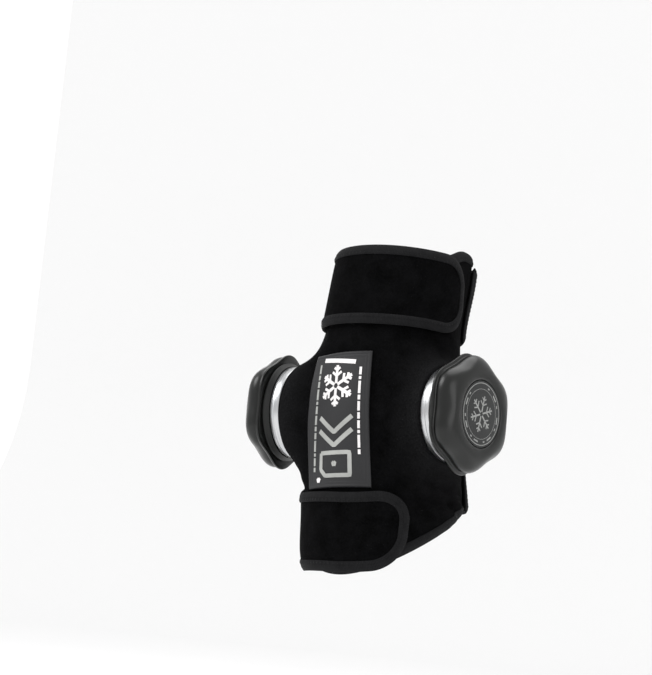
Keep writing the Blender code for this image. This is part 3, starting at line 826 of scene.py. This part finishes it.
def crystal(centre, size, width, arms=6, turn=0.0):
    """Strokes of an ice crystal: six arms with two pairs of twigs each."""
    lines = []
    for k in range(arms):
        angle = turn + 2.0 * math.pi * k / arms
        out = np.array((math.sin(angle), math.cos(angle)))
        lines.append(((centre + out * 0.12 * size, centre + out * size), width))
        for share, twig in ((0.48, 0.34), (0.76, 0.22)):
            knot = centre + out * share * size
            for lean in (-1, 1):
                bend = angle + lean * math.radians(55.0)
                tip = knot + np.array((math.sin(bend), math.cos(bend))) * twig * size
                lines.append(((knot, tip), width * 0.8))
    return lines


def circle(centre, radius, width, count=48):
    angles = np.linspace(0.0, 2.0 * math.pi, count + 1)
    points = centre + radius * np.stack((np.sin(angles), np.cos(angles)), axis=1)
    return (points, width)


# ---------------------------------------------------------------- pieces


class WRAP_OT_sleeve(bpy.types.Operator):
    """Outer sleeve: loop pile on neoprene, drawn out to each neck, with its edge tape and stitches"""

    bl_idname = "wrap.sleeve"
    bl_label = "Sleeve"

    def execute(self, context):
        cell = context.scene.wrap_cloth.cell * 1.0
        turns = np.linspace(-SLEEVE_HALF_TURN, SLEEVE_HALF_TURN, int(0.255 / cell))
        parts = np.linspace(0.0, 1.0, int(0.205 / cell))
        low, high = sleeve_low(turns)[:, None], sleeve_high(turns)[:, None]
        height = low + (high - low) * parts[None, :]
        turn = np.repeat(turns[:, None], len(parts), axis=1)
        points, pull = wrap_points(turn, height, sleeve_folds(turn, height), with_pull=True)
        faces = np.array(grid_faces(len(turns), len(parts)))
        flat = points.reshape(-1, 3)
        middle = flat[faces].mean(axis=1)
        open_at = np.zeros(len(faces), dtype=bool)
        for side in SIDES.values():
            away, along = from_neck(middle, side)
            open_at |= (away < NECK_HOLE_RADIUS + 0.0004) & (along > -0.02)
        uv = np.stack((turn * METRES_PER_TURN_DEGREE, height), axis=-1).reshape(-1, 2)
        stretch = np.clip((pull - 0.12) * 0.75, 0.0, 0.6).ravel()
        made = add_mesh(
            "sleeve_cloth", flat, faces[~open_at].tolist(), material("loop pile"), uv=uv, colours=stretch
        )
        thick = made.modifiers.new("thickness", "SOLIDIFY")
        thick.thickness = SLEEVE_THICKNESS
        thick.offset = -1.0
        columns = np.linspace(-SLEEVE_HALF_TURN, SLEEVE_HALF_TURN, 600)
        top = np.stack((columns, sleeve_high(columns)), axis=1)
        bottom = np.stack((columns[::-1], sleeve_low(columns[::-1])), axis=1)
        path = np.concatenate((top, bottom, top[:1]))
        edge = tape("sleeve_tape", path, -SLEEVE_THICKNESS, 0.0, BINDING_REACH, relief=sleeve_folds)
        seam = STITCH_LINE * context.scene.wrap_cloth.tape_width
        sewn = stitches("sleeve_tape_stitches", path, seam, 0.0007, sleeve_folds)
        for piece in (made, edge, sewn):
            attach(piece, "wrap")
        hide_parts("outer_sleeve")
        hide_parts("edge_binding")
        return {"FINISHED"}


def bag_depth(turn, height):
    """How deep the bag lies behind the sleeve, most at its middle."""
    across = (np.abs(turn) - BAG_CENTRE_TURN) / BAG_HALF_TURN
    upwards = (height - 0.001) / 0.047
    return 0.0062 * np.clip(1.0 - across**2, 0.0, None) * np.clip(1.0 - upwards**2, 0.0, None)


class WRAP_OT_lining(bpy.types.Operator):
    """Knitted lining that touches the leg, swelling inwards over the bags"""

    bl_idname = "wrap.lining"
    bl_label = "Lining"

    def execute(self, context):
        turns = np.linspace(-SLEEVE_HALF_TURN + 1.0, SLEEVE_HALF_TURN - 1.0, 170)
        parts = np.linspace(0.0, 1.0, 120)
        low, high = sleeve_low(turns)[:, None] + 0.002, sleeve_high(turns)[:, None] - 0.002
        height = low + (high - low) * parts[None, :]
        turn = np.repeat(turns[:, None], len(parts), axis=1)
        near_edge = np.minimum(height - low, high - height) / 0.012
        near_end = (SLEEVE_HALF_TURN - 1.0 - np.abs(turn)) * METRES_PER_TURN_DEGREE / 0.012
        settle = np.clip(np.minimum(near_edge, near_end), 0.0, 1.0) ** 0.6
        behind = -SLEEVE_THICKNESS - 0.0006 - settle * 0.0034 - bag_depth(turn, height) * settle
        rings = wrap_points(turn, height, behind, drawn_to_neck=False)
        uv = np.stack((turn * METRES_PER_TURN_DEGREE, height), axis=-1).reshape(-1, 2)
        made = add_mesh(
            "lining_cloth",
            rings.reshape(-1, 3),
            grid_faces(len(turns), len(parts)),
            material("lining"),
            uv=uv,
        )
        thick = made.modifiers.new("thickness", "SOLIDIFY")
        thick.thickness = 0.0008
        thick.offset = -1.0
        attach(made, "wrap")
        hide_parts("inner_lining")
        return {"FINISHED"}


class WRAP_OT_bags(bpy.types.Operator):
    """Refillable ice bags: puffed pouches of coated cloth between sleeve and lining, open at their necks"""

    bl_idname = "wrap.bags"
    bl_label = "Ice bags"

    def execute(self, context):
        for prefix, side in SIDES.items():
            turns = side * np.linspace(26.0, 124.0, 90)
            heights = np.linspace(-0.045, 0.047, 90)
            turn, height = np.meshgrid(turns, heights, indexing="ij")
            rim_turn = (np.abs(np.abs(turn) - BAG_CENTRE_TURN) / 49.0) ** 6
            rim_height = (np.abs(height - 0.001) / 0.046) ** 6
            swell = np.clip(1.0 - rim_turn, 0.0, 1.0) * np.clip(1.0 - rim_height, 0.0, 1.0)
            gather = 0.0003 * np.sin(turn * 1.3) * np.sin(height * 500.0)
            outer = wrap_points(turn, height, BAG_OUTSIDE - 0.0003 + gather * swell)
            depth = 0.0004 + (0.0008 + bag_depth(turn, height)) * swell**0.5
            inner = wrap_points(turn, height, BAG_OUTSIDE - 0.0005 - depth, drawn_to_neck=False)
            rings = np.concatenate((outer, inner[:, ::-1]), axis=1)
            made = loft(f"{prefix}_ice_bag_cloth", rings, material("bag"))
            shape = bmesh.new()
            shape.from_mesh(made.data)
            doomed = []
            for face in shape.faces:
                away, along = from_neck(np.array(face.calc_center_median()), side)
                if away < NECK_HOLE_RADIUS and along > -0.008:
                    doomed.append(face)
            bmesh.ops.delete(shape, geom=doomed, context="FACES")
            shape.to_mesh(made.data)
            shape.free()
            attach(made, "wrap")
            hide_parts(f"{prefix}_ice_bag")
        return {"FINISHED"}


class WRAP_OT_straps(bpy.types.Operator):
    """Hook-and-loop straps with rounded ends, binding tape, stitches and hook patches"""

    bl_idname = "wrap.straps"
    bl_label = "Straps"

    def execute(self, context):
        for prefix, strap in STRAPS.items():
            self.make(context, prefix, strap)
        return {"FINISHED"}

    def make(self, context, prefix, strap):
        cloth = context.scene.wrap_cloth
        start = STRAP_ROOT_TURN - 360.0

        def climb(turn):
            return strap_rise(turn) if strap["climbs"] else 0.0 * np.asarray(turn)

        def drop(turn):
            middle = 0.5 * (strap["low"] + strap["high"]) + climb(turn)
            distance = (strap["end"] - turn) * metres_per_degree(turn, middle)
            return corner_drop(distance, STRAP_END_RADIUS)

        def low(turn):
            return strap["low"] + climb(turn) + drop(turn)

        def high(turn):
            return strap["high"] + climb(turn) - drop(turn)

        def relief(turn, height):
            """The worn strap's slackness: close where it is sewn on, a little lifted at its free end."""
            wave = 0.0002 * np.sin(np.radians(turn) * 5.0 + height * 60.0)
            lift = 0.0006 * bell(turn, strap["end"], 14.0)
            press = -0.0009 * (1.0 - smooth_step((turn - start) / 20.0))
            return wave + lift + press

        step = cloth.cell * 1.0
        corner = STRAP_END_RADIUS / float(metres_per_degree(strap["end"], strap["low"]))
        plain = np.linspace(start, strap["end"] - corner, int(0.26 / step))
        rounded = strap["end"] - corner * (1.0 - np.sin(np.linspace(0.0, math.pi / 2, 26)[1:]))
        turns = np.concatenate((plain, rounded))
        across = np.linspace(0.0, 1.0, int(0.05 / step))
        height = low(turns)[:, None] + (high(turns) - low(turns))[:, None] * across[None, :]
        turn = np.repeat(turns[:, None], len(across), axis=1)
        edge = np.minimum(height - low(turns)[:, None], high(turns)[:, None] - height)
        edge = np.minimum(edge, (strap["end"] - turn) * 0.0009)
        pinch = 0.0005 * np.exp(-np.clip(edge, 0.0, None) / 0.005)
        outer = wrap_points(turn, height, STRAP_OUTSIDE + 0.0002 - pinch + relief(turn, height))
        inner = wrap_points(turn, height, STRAP_INSIDE + pinch * 0.4 + relief(turn, height))
        rings = np.concatenate((outer, inner[:, ::-1]), axis=1)
        around = np.arange(rings.shape[1]) * step
        made = loft(f"{prefix}_cloth", rings, material("loop pile"), along=turns * 0.0009, around=around)
        layer = made.data.color_attributes.new(name="stretch", type="FLOAT_COLOR", domain="POINT")
        layer.data.foreach_set("color", np.tile((0.0, 0.0, 0.0, 1.0), len(made.data.vertices)))

        columns = np.concatenate((np.linspace(start, strap["end"] - corner, 500), rounded))
        top = np.stack((columns, high(columns)), axis=1)
        bottom = np.stack((columns[::-1], low(columns[::-1])), axis=1)
        path = np.concatenate((top, bottom, top[:1]))
        strip = tape(f"{prefix}_tape", path, STRAP_INSIDE, STRAP_OUTSIDE, BINDING_REACH, relief=relief)
        seam = STITCH_LINE * cloth.tape_width
        sewn = stitches(f"{prefix}_stitches", path, seam, STRAP_OUTSIDE + 0.0007, relief)

        low_z, high_z = strap["low"], strap["high"]
        hinge = Vector(
            wrap_points(strap["hinge"], 0.5 * (low_z + high_z) + float(climb(strap["hinge"])), 0.003)
        )
        for piece in (made, strip, sewn):
            first, second = hinge - BLEND_DIRECTION * BLEND_REACH, hinge + BLEND_DIRECTION * BLEND_REACH
            tuple(first)
            tuple(second)
            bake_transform(piece)
        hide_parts(f"{prefix}_root", f"{prefix}_flap")
        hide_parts(f"{prefix}_root_binding", f"{prefix}_flap_binding")
        length = float(arc_lengths(wrap_points(plain, low(plain), 0.003))[-1]) + STRAP_END_RADIUS
        self.make_hook(prefix, strap, climb, corner)

    def make_hook(self, prefix, strap, climb, corner):
        end = strap["end"] - 0.3 * corner
        begin = end - 0.030 / float(metres_per_degree(strap["end"], strap["low"]))
        turns = np.linspace(begin, end, 40)
        across = np.linspace(0.0, 1.0, 44)
        low = strap["low"] + 0.006 + climb(turns)[:, None]
        high = strap["high"] - 0.006 + climb(turns)[:, None]
        height = low + (high - low) * across[None, :]
        turn = np.repeat(turns[:, None], len(across), axis=1)
        bristle = 0.00012 * np.sin(turn * 60.0) * np.sin(height * 3800.0)
        lift = 0.0006 * bell(turn, strap["end"], 14.0)
        outer = wrap_points(turn, height, 0.0019 + lift)
        inner = wrap_points(turn, height, 0.0007 + bristle + lift)
        made = loft(f"{prefix}_hook_patch", np.concatenate((outer, inner[:, ::-1]), axis=1), material("hook"))
        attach(made, prefix)
        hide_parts(f"{prefix}_hook")


class WRAP_OT_patch(bpy.types.Operator):
    """Moulded soft PVC patch on the back, with a raised frame and plain marks"""

    bl_idname = "wrap.patch"
    bl_label = "Back patch"

    def execute(self, context):
        settings = context.scene.wrap_patch
        half_width, half_height = settings.width / 2, settings.height / 2

        def lean(across, up):
            cos, sin = math.cos(PATCH_LEAN), math.sin(PATCH_LEAN)
            turn = np.degrees((PATCH_CENTRE[0] + across * cos - up * sin) / PATCH_TURN_RADIUS)
            return turn, PATCH_CENTRE[1] + up * cos + across * sin

        def place(point, lift):
            turn, height = lean(point[0], point[1])
            return wrap_points(turn, height, 0.0020 + lift + 0.9 * sleeve_folds(turn, height))

        across = np.linspace(-half_width, half_width, 90)
        up = np.linspace(-half_height, half_height, 178)
        x, z = np.meshgrid(across, up, indexing="ij")
        inset = np.minimum(half_width - np.abs(x), half_height - np.abs(z))
        frame_ridge = 0.00035 * bell(inset, 0.0010, 0.0008) + 0.0002 * bell(inset, 0.0031, 0.0004)
        rounded = -0.0007 * np.exp(-inset / 0.0004)
        turn, height = lean(x, z)
        folds = 0.9 * sleeve_folds(turn, height)
        top = wrap_points(turn, height, 0.0020 + frame_ridge + rounded + folds)
        base = wrap_points(turn, height, 0.0003 + folds)
        made = loft("patch_body", np.concatenate((top, base[:, ::-1]), axis=1), material("patch"))
        light = crystal(np.array((0.0, 0.0215)), 0.0135, 0.0021)
        light += [(((-0.0135, 0.0395), (0.0135, 0.0365)), 0.0028)]
        light += self.dashes(0.0172, 0.0330, -0.0250, (5, 2, 8, 3, 6, 4), 0.0016)
        light += [circle(np.array((-0.0130, -0.0385)), 0.0010, 0.0019, 16)]
        grey = [
            (((-0.0130, z + 0.0050), (0.0, z - 0.0050), (0.0130, z + 0.0050)), 0.0030)
            for z in (-0.0035, -0.0120)
        ]
        grey += [
            (
                (
                    (-0.0110, -0.0215),
                    (0.0110, -0.0215),
                    (0.0110, -0.0360),
                    (-0.0070, -0.0360),
                    (-0.0110, -0.0320),
                    (-0.0110, -0.0215),
                ),
                0.0027,
            ),
        ]
        grey += [circle(np.array((0.0, -0.0285)), 0.0011, 0.0020, 16)]
        grey += self.dashes(-0.0172, 0.0370, -0.0330, (6, 3, 4, 7, 2, 5), 0.0015)
        raised = 0.00035
        marks = [
            strokes("patch_light_marks", light, place, material("light mark"), raised),
            strokes("patch_grey_marks", grey, place, material("grey mark"), raised),
        ]
        for piece in (made, *marks):
            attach(piece, "wrap")
        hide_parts("back_patch")
        return {"FINISHED"}

    def dashes(self, across, top, bottom, rhythm, width):
        """A column of dashes whose lengths follow a short rhythm, in millimetres."""
        lines, height, k = [], top, 0
        while height > bottom + 0.002:
            length = min(rhythm[k % len(rhythm)] * 0.001, height - bottom)
            lines.append((((across, height), (across, height - length)), width))
            height -= length + 0.0011
            k += 1
        return lines


class WRAP_OT_necks(bpy.types.Operator):
    """Clamp rings and collars on the bag necks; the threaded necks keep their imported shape"""

    bl_idname = "wrap.necks"
    bl_label = "Necks and rings"

    def execute(self, context):
        ring_profile = (
            (0.0284, 0.0065), (0.0298, 0.0065), (0.0303, 0.00635), (0.0305, 0.0060), (0.0305, 0.0042),
            (0.0303, 0.0040), (0.0303, 0.0037), (0.0305, 0.0035), (0.0305, 0.0006), (0.0303, 0.0002),
            (0.0298, 0.0), (0.0279, 0.0), (0.0279, 0.0065),
        )
        collar_profile = (
            (0.0279, 0.0110), (0.0322, 0.0110), (0.0328, 0.01085), (0.0330, 0.0104), (0.0330, 0.0098),
            (0.0326, 0.0093), (0.0319, 0.0084), (0.0313, 0.0075), (0.0309, 0.0069), (0.0305, 0.0068), (
                0.0279, 0.0068
            ),
        )
        for prefix, side in SIDES.items():
            ring = turned(f"{prefix}_metal_ring", ring_profile, side, material("metal"))
            collar = turned(f"{prefix}_neck_collar", collar_profile, side, material("neck"))
            for piece, node_name, slot_name in (
                (ring, "clamp_ring", "ring_aluminium"), (collar, "collar", "neck_plastic")
            ):
                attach(piece, "wrap")
                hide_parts(f"{prefix}_{node_name}")
            self.paint(f"{prefix}_neck", "neck")
            self.paint(f"{prefix}_cap_seal", "seal")
        return {"FINISHED"}

    def paint(self, node_name, look):
        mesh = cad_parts[node_name].data
        mesh.materials.clear()
        mesh.materials.append(material(look))


class WRAP_OT_caps(bpy.types.Operator):
    """Lobed screw caps with a domed face, a lip, an inner thread and a printed disc"""

    bl_idname = "wrap.caps"
    bl_label = "Caps"

    def execute(self, context):
        settings = context.scene.wrap_closure

        def lobed(radius, angle):
            share = np.clip((radius - 0.0262) / 0.0100, 0.0, 1.0)
            share = np.where(np.isclose(radius, 0.0296), 0.0, share * share * (3.0 - 2.0 * share))
            hollow = (0.5 * (1.0 - np.cos(settings.lobes * angle)))
            return radius - settings.lobe_depth * share * hollow

        profile = (
            (0.0, 0.0245), (0.0212, 0.0245), (0.0215, 0.0248), (0.0217, 0.0254), (0.0221, 0.0258),
            (0.0230, 0.02605), (0.0250, 0.0262), (0.0272, 0.0261), (0.0295, 0.02565), (0.0316, 0.0249),
            (0.0335, 0.0239), (0.0351, 0.0226), (0.0363, 0.0211), (0.0371, 0.0195), (0.0375, 0.0178),
            (0.0375, 0.0162), (0.0372, 0.0150), (0.0369, 0.0144), (0.03685, 0.0139), (0.0372, 0.0135),
            (0.0380, 0.01335), (0.0386, 0.0131), (0.0388, 0.0126), (0.0388, 0.0120), (0.0386, 0.0115),
            (0.0381, 0.0113), (0.0350, 0.0113), (0.0310, 0.0113), (0.0298, 0.0114), (0.0296, 0.0117),
            (0.0296, 0.0214), (0.0292, 0.0218), (0.0, 0.0218),
        )
        disc = (
            (0.0, 0.0254),
            (0.0204, 0.0254),
            (0.0208, 0.02535),
            (0.0210, 0.0252),
            (0.0210, 0.0249),
            (0.0, 0.0249),
        )
        for prefix, side in SIDES.items():
            cap = turned(
                f"{prefix}_screw_cap", profile, side, material("cap"), 240, shape=lobed, closed=False
            )
            thread = self.thread(prefix, side)
            badge = turned(f"{prefix}_printed_disc", disc, side, material("badge"), closed=False)
            lines = [circle(np.zeros(2), 0.0196, 0.0006, 96), circle(np.zeros(2), 0.0158, 0.00035, 96)]
            lines += crystal(np.zeros(2), 0.0118, 0.0012, turn=math.radians(12.0))
            lines += [
                (
                    (
                        0.0177 * np.array((math.sin(a), math.cos(a))),
                        0.0177 * np.array((math.sin(a + w), math.cos(a + w))),
                    ),
                    0.0011,
                )
                for a, w in ((0.3 + 0.42 * k, 0.1 + 0.16 * (k % 2)) for k in range(13))
            ]

            def place(point, lift):
                return np.array((point[0], point[1], 0.02538 + lift))

            marks = strokes(f"{prefix}_disc_marks", lines, place, material("silver ink"), 0.00008)
            put_on_neck(marks, side)
            for piece, slot_name in (
                (cap, "cap_plastic"), (thread, "cap_plastic"), (badge, "badge_film"), (marks, "badge_film")
            ):
                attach(piece, f"{prefix}_closure")
            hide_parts(f"{prefix}_cap")
            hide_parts(f"{prefix}_cap_badge")
        return {"FINISHED"}

    def thread(self, prefix, side):
        """The cap's inner thread: one turn of a 4 mm pitch helix between the neck's ridges."""
        steps = 72
        angles = np.linspace(0.0, 2.0 * math.pi, steps + 1)
        section = ((0.0300, 0.0008), (0.0282, 0.0004), (0.0282, -0.0004), (0.0300, -0.0008))
        rings = np.array(
            [
                [
                    (r * math.cos(a), r * math.sin(a), 0.0124 + t + 0.004 * a / (2.0 * math.pi))
                    for r, t in section
                ]
                for a in angles
            ]
        )
        return put_on_neck(loft(f"{prefix}_cap_thread", rings, material("cap")), side)


class WRAP_OT_stage(bpy.types.Operator):
    """Pale floor and backdrop in one sweep, soft lights and the camera"""

    bl_idname = "wrap.stage"
    bl_label = "Stage"

    def execute(self, context):
        settings = context.scene.wrap_stage
        azimuth = math.radians(settings.azimuth)
        elevation = math.radians(settings.elevation)
        roll = math.radians(settings.roll)
        centre = (Vector(CAD_BOX[0]) + Vector(CAD_BOX[1])) / 2
        level = math.cos(elevation)
        back = Vector((math.sin(azimuth) * level, -math.cos(azimuth) * level, math.sin(elevation)))
        camera_data = bpy.data.cameras.new("camera")
        camera_data.lens = settings.lens
        camera = bpy.data.objects.new("camera", camera_data)
        context.scene.collection.objects.link(camera)
        right, up = self.axes(back, roll)
        place = back * settings.distance - right * settings.aim_left + up * settings.aim_up
        camera.matrix_world = Matrix.Translation(place) @ Matrix((right, up, back)).transposed().to_4x4()
        context.scene.camera = camera
        self.backdrop(settings)
        self.lights(centre)
        return {"FINISHED"}

    def axes(self, back, roll):
        right = Vector((0.0, 0.0, 1.0)).cross(back).normalized()
        up = back.cross(right)
        return right * math.cos(roll) + up * math.sin(roll), up * math.cos(roll) - right * math.sin(roll)

    def backdrop(self, settings):
        half, bend = 7.0, 1.5
        angles = np.linspace(0.0, math.pi / 2, 16)
        profile = [(-half, 0.0)] + [
            (half - bend + bend * math.sin(a), bend - bend * math.cos(a)) for a in angles
        ]
        profile.append((half, 4.0))
        look, _, _ = new_material("matt backdrop paper", settings.floor_colour, 0.9, Specular_IOR_Level=0.1)
        rings = np.array(
            [[(x, y, settings.floor_height + z) for y, z in profile] for x in np.linspace(-half, half, 12)]
        )
        floor = add_mesh("floor", rings.reshape(-1, 3), grid_faces(12, len(profile)), look)

    def lights(self, centre):
        world = bpy.data.worlds.new("studio")
        world.use_nodes = True
        world.node_tree.nodes["Background"].inputs["Color"].default_value = linear("#ffffff")
        world.node_tree.nodes["Background"].inputs["Strength"].default_value = 1.05
        bpy.context.scene.world = world
        bpy.context.scene.view_settings.view_transform = "Standard"
        for name, direction, size, power in (
            ("key", (-0.75, -0.9, 0.9), 0.9, 15.0),
            ("fill", (1.3, -0.5, 0.35), 1.1, 7.0),
            ("top", (0.1, 0.2, 1.3), 1.2, 9.0),
            ("rim", (-1.0, 0.8, 0.3), 0.8, 4.0),
        ):
            light = bpy.data.lights.new(name, "AREA")
            light.shape = "DISK"
            light.size = size
            light.energy = power
            lamp = bpy.data.objects.new(name, light)
            lamp.location = centre + Vector(direction)
            lamp.rotation_euler = (centre - lamp.location).to_track_quat("-Z", "Y").to_euler()
            bpy.context.scene.collection.objects.link(lamp)


class WRAP_PT_panel(bpy.types.Panel):
    """Buttons for each group of pieces"""

    bl_label = "Cold compression wrap"
    bl_idname = "WRAP_PT_panel"
    bl_space_type = "VIEW_3D"
    bl_region_type = "UI"
    bl_category = "Wrap"

    def draw(self, context):
        for operator in OPERATORS:
            self.layout.operator(operator.bl_idname)
        for group in ("wrap_cloth", "wrap_closure", "wrap_patch", "wrap_stage"):
            settings = getattr(context.scene, group)
            box = self.layout.box()
            for name in settings.__annotations__:
                box.prop(settings, name)


OPERATORS = (
    WRAP_OT_stage, WRAP_OT_lining, WRAP_OT_bags, WRAP_OT_sleeve, WRAP_OT_straps, WRAP_OT_patch, WRAP_OT_necks,
    WRAP_OT_caps,
)
SETTINGS = {
    "wrap_cloth": WrapClothSettings,
    "wrap_closure": WrapClosureSettings,
    "wrap_patch": WrapPatchSettings,
    "wrap_stage": WrapStageSettings,
}


def register():
    for settings in SETTINGS.values():
        bpy.utils.register_class(settings)
    for group, settings in SETTINGS.items():
        setattr(bpy.types.Scene, group, bpy.props.PointerProperty(type=settings))
    for operator in OPERATORS:
        bpy.utils.register_class(operator)
    bpy.utils.register_class(WRAP_PT_panel)


def unregister():
    bpy.utils.unregister_class(WRAP_PT_panel)
    for operator in reversed(OPERATORS):
        bpy.utils.unregister_class(operator)
    for group, settings in SETTINGS.items():
        delattr(bpy.types.Scene, group)
        bpy.utils.unregister_class(settings)


def main():
    register()
    for operator in OPERATORS:
        getattr(bpy.ops.wrap, operator.bl_idname.split(".")[1])()


if __name__ == "__main__":
    main()
